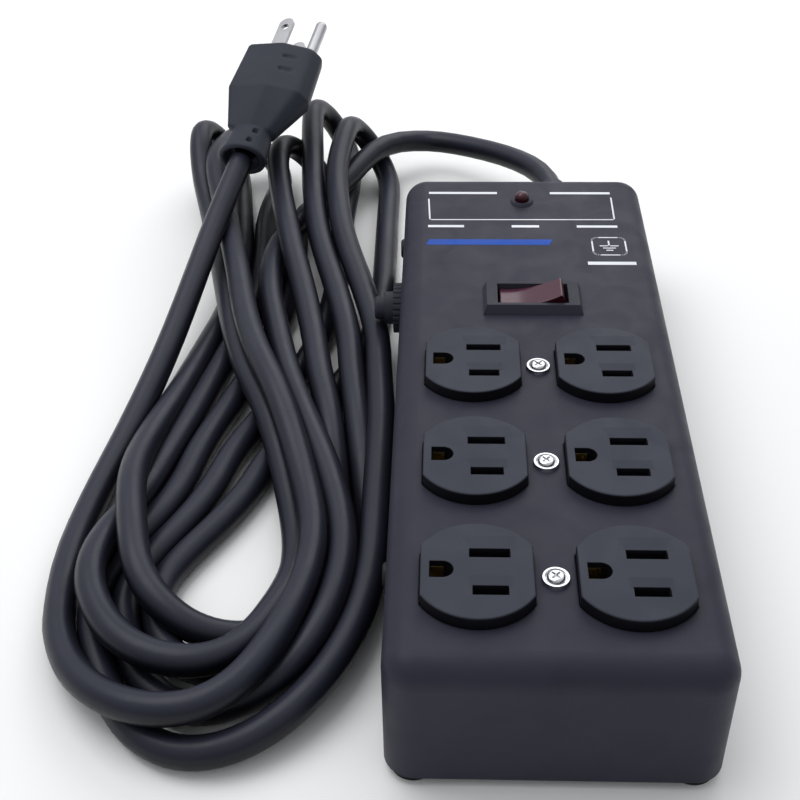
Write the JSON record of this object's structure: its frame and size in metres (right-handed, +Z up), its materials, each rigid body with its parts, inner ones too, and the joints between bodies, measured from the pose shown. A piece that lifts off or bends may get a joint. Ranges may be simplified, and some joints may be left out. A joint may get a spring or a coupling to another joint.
{
  "type": "surge protector",
  "caption": "Metal outlet strip with rows of paired grounded outlets, lit rocker switch, reset breaker, indicator lamp and a long folded mains lead with moulded plug.",
  "frame": {"origin": "on the surface that the feet stand on, under the centre of the case", "axes": "+X across the case to the right, +Y along the case towards the end where the lead leaves, +Z up"},
  "size_m": [0.1877, 0.336, 0.068],
  "materials": {
    "painted_steel": "semi-gloss black powder coat",
    "foot_rubber": "matt black rubber",
    "black_screw": "black oxide",
    "nickel": "bright nickel plate",
    "outlet_plastic": "satin moulded plastic",
    "inner_plastic": "moulded plastic",
    "contact_brass": "rolled brass strip",
    "switch_plastic": "fine-grained moulded plastic",
    "red_lens": "clear dark red plastic",
    "neon_glass": "clear glass",
    "board_green": "solder mask",
    "varistor_blue": "epoxy dip",
    "capacitor_yellow": "moulded box",
    "ferrite": "ceramic ferrite",
    "copper": "enamelled copper",
    "wire_black": "PVC insulation",
    "wire_white": "PVC insulation",
    "wire_green": "PVC insulation",
    "cord_vinyl": "satin flexible vinyl jacket",
    "plug_vinyl": "moulded vinyl",
    "plug_metal": "nickel-plated brass"
  },
  "bodies": {
    "case": {"base_plate": "painted_steel", "board_screws": "nickel", "board_standoffs": "inner_plastic", "breaker_body": "switch_plastic", "breaker_nut": "switch_plastic", "breaker_terminals": "contact_brass", "choke_core": "ferrite", "choke_winding": "copper", "cord_arch": "cord_vinyl", "cord_hank": "cord_vinyl", "cord_plug_run": "cord_vinyl", "cord_strain_relief": "cord_vinyl", "filter_board": "board_green", "filter_capacitor": "capacitor_yellow", "foot_back_left": "foot_rubber", "foot_back_right": "foot_rubber", "foot_front_left": "foot_rubber", "foot_front_right": "foot_rubber", "foot_screws": "black_screw", "ground_lug": "contact_brass", "ground_nut": "nickel", "ground_strap_back": "contact_brass", "ground_strap_front": "contact_brass", "ground_strap_middle": "contact_brass", "ground_wires": "wire_green", "indicator_lamp": "red_lens", "jacket_tail": "cord_vinyl", "lamp_collar": "switch_plastic", "lamp_leads": "nickel", "line_contact_back": "contact_brass", "line_contact_front": "contact_brass", "line_contact_middle": "contact_brass", "line_wires": "wire_black", "neutral_contact_back": "contact_brass", "neutral_contact_front": "contact_brass", "neutral_contact_middle": "contact_brass", "neutral_wire": "wire_white", "plug_body": "plug_vinyl", "plug_ground_pin": "plug_metal", "plug_line_blade": "plug_metal", "plug_neutral_blade": "plug_metal", "receptacle_body_back": "inner_plastic", "receptacle_body_front": "inner_plastic", "receptacle_body_middle": "inner_plastic", "receptacle_face_back": "outlet_plastic", "receptacle_face_front": "outlet_plastic", "receptacle_face_middle": "outlet_plastic", "receptacle_rivets": "nickel", "receptacle_screws": "nickel", "side_screws": "black_screw", "switch_housing": "switch_plastic", "switch_lamp": "neon_glass", "switch_terminals": "contact_brass", "top_cover": "painted_steel", "varistors": "varistor_blue"},
    "rocker": {"switch_rocker": "red_lens", "switch_plunger": "inner_plastic"},
    "contact_lever": {"switch_lever": "contact_brass"},
    "reset": {"reset_button": "switch_plastic"}
  },
  "joints": [
    {"name": "rocker_tilt", "type": "hinge", "parent": "case", "child": "rocker", "pos_m": [0, 0.035, 0.0428], "axis": [0, 1, 0], "range_deg": [0, 26]},
    {"name": "lever_tilt", "type": "hinge", "parent": "case", "child": "contact_lever", "pos_m": [0, 0.035, 0.0312], "axis": [0, 1, 0], "range_deg": [-13, 0]},
    {"name": "reset_travel", "type": "slide", "parent": "case", "child": "reset", "axis": [-1, 0, 0], "range_m": [0, 0.003]}
  ],
  "couplings": [
    {"joint": "lever_tilt", "follows": "rocker_tilt", "ratio": -0.5}
  ]
}
